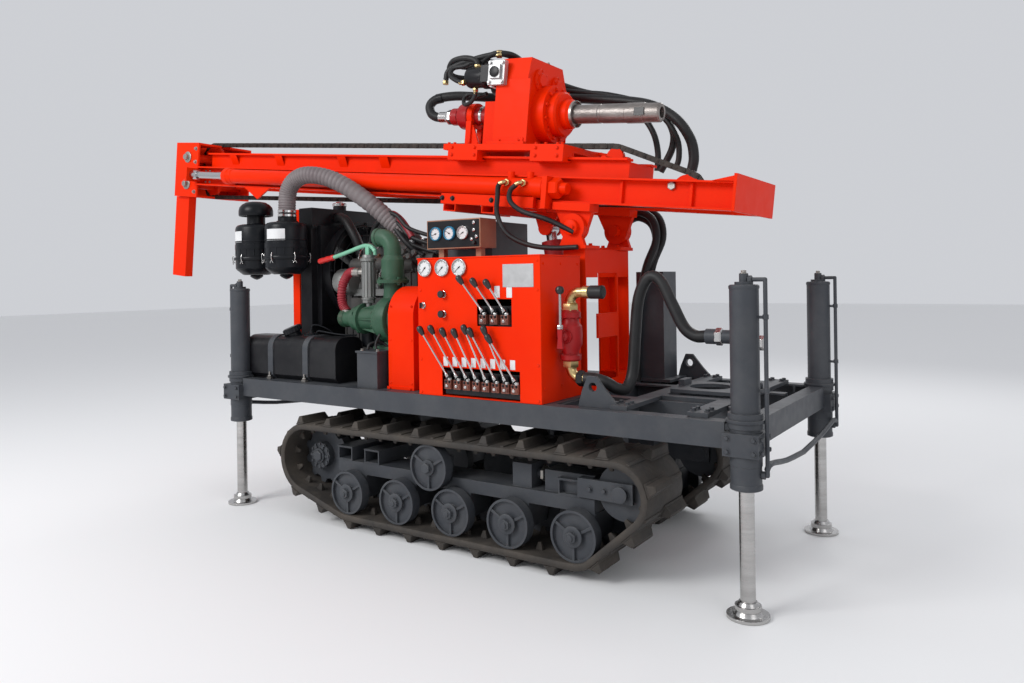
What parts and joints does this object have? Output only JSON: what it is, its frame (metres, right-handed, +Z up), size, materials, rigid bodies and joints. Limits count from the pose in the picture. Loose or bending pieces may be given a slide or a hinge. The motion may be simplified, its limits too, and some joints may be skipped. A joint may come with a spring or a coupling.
{
  "type": "water well drilling rig",
  "caption": "Tracked water well drilling rig with its mast laid down, four jack legs, a power head, an engine with a water pump, and an operator's valve cabinet.",
  "frame": {"origin": "on the ground, at the centre of the object's box", "axes": "+X along the machine towards the drilling end, +Y away from the operator's side, +Z up"},
  "size_m": [3.8052, 1.1701, 2.1202],
  "materials": {
    "belt_rubber": "matt",
    "slate_paint": "satin",
    "jack_steel": "satin",
    "engine_paint": "satin",
    "black_paint": "satin",
    "black_plastic": "satin",
    "grey_duct": "satin",
    "red_paint": "gloss",
    "green_paint": "satin",
    "grey_casting": "satin",
    "bare_steel": "satin",
    "bright_steel": "polished",
    "copper_paint": "satin",
    "dark_red_paint": "gloss",
    "hose_rubber": "satin",
    "chrome_rod": "polished",
    "chain_steel": "oiled",
    "worn_steel": "worn"
  },
  "bodies": {
    "chassis": {"track_near": "belt_rubber", "track_far": "belt_rubber", "track_frames": "slate_paint", "track_rollers": "slate_paint", "idlers": "slate_paint", "sprockets": "slate_paint", "deck_frame": "slate_paint", "jack_barrels": "slate_paint", "hydraulic_pipes": "slate_paint", "engine": "engine_paint", "radiator": "black_paint", "fuel_tank": "black_paint", "air_filters": "black_plastic", "intake_duct": "grey_duct", "rest_post": "red_paint", "water_pump": "green_paint", "hand_primer": "grey_casting", "belt_guard": "red_paint", "battery_box": "slate_paint", "control_cabinet": "red_paint", "valve_banks": "bare_steel", "control_levers": "bright_steel", "gauges": "bright_steel", "instrument_box": "copper_paint", "water_valve": "dark_red_paint", "mast_column": "red_paint", "hydraulic_tank": "slate_paint", "side_tower": "slate_paint", "drill_floor": "slate_paint", "manifold": "slate_paint", "deck_hoses": "hose_rubber"},
    "leg_back_near": {"jack_foot_back_near": "jack_steel"},
    "leg_back_far": {"jack_foot_back_far": "jack_steel"},
    "leg_front_near": {"jack_foot_front_near": "jack_steel"},
    "leg_front_far": {"jack_foot_front_far": "jack_steel"},
    "fan_wheel": {"fan": "black_plastic"},
    "clamp_plate": {"floor_clamp": "slate_paint"},
    "cradle_frame": {"cradle": "red_paint", "feed_cylinder": "red_paint"},
    "lift_cylinder": {"lift_barrel": "dark_red_paint"},
    "lift_ram": {"lift_rod": "chrome_rod"},
    "mast": {"mast_beam": "red_paint", "crown": "red_paint", "feed_rod": "chrome_rod", "feed_chain": "chain_steel", "crown_arm": "red_paint"},
    "power_head": {"carriage": "red_paint", "gearbox": "red_paint", "head_motors": "dark_red_paint", "head_hoses": "hose_rubber"},
    "drill_spindle": {"spindle": "worn_steel"}
  },
  "joints": [
    {"name": "mast_raise", "type": "hinge", "parent": "chassis", "child": "cradle_frame", "pos_m": [1.01561, 0, 1.335], "axis": [0, 1, 0], "range_deg": [0, 83.85]},
    {"name": "mast_slide", "type": "slide", "parent": "cradle_frame", "child": "mast", "axis": [-0.9942, 0, 0.1071], "range_m": [0, 0.59]},
    {"name": "head_slide", "type": "slide", "parent": "mast", "child": "power_head", "axis": [0.9942, 0, -0.1071], "range_m": [-1.6, 0.1]},
    {"name": "spindle_spin", "type": "hinge", "parent": "power_head", "child": "drill_spindle", "pos_m": [1.06992, 0, 1.83908], "axis": [0.9942, 0, -0.1071], "continuous": true},
    {"name": "lift_cylinder_swing", "type": "hinge", "parent": "chassis", "child": "lift_cylinder", "pos_m": [0.87061, 0, 0.76], "axis": [0, 1, 0], "range_deg": [-2, 20.6]},
    {"name": "lift_ram_slide", "type": "slide", "parent": "lift_cylinder", "child": "lift_ram", "axis": [-0.1574, 0, 0.9875], "range_m": [-0.005, 0.2312]},
    {"name": "fan_spin", "type": "hinge", "parent": "chassis", "child": "fan_wheel", "pos_m": [-0.43439, 0.01, 1.18], "axis": [1, 0, 0], "continuous": true},
    {"name": "clamp_plate_lift", "type": "hinge", "parent": "chassis", "child": "clamp_plate", "pos_m": [1.67561, 0, 0.6753], "axis": [0, 1, 0], "range_deg": [0, 110]},
    {"name": "jack_back_near", "type": "slide", "parent": "chassis", "child": "leg_back_near", "axis": [0, 0, 1], "range_m": [-0.12, 0.36]},
    {"name": "jack_back_far", "type": "slide", "parent": "chassis", "child": "leg_back_far", "axis": [0, 0, 1], "range_m": [-0.12, 0.36]},
    {"name": "jack_front_near", "type": "slide", "parent": "chassis", "child": "leg_front_near", "axis": [0, 0, 1], "range_m": [-0.12, 0.36]},
    {"name": "jack_front_far", "type": "slide", "parent": "chassis", "child": "leg_front_far", "axis": [0, 0, 1], "range_m": [-0.12, 0.36]}
  ],
  "couplings": [
    {"joint": "lift_cylinder_swing", "follows": "mast_raise", "ratio": 0.2218},
    {"joint": "lift_ram_slide", "follows": "mast_raise", "m_per_rad": 0.15456}
  ]
}
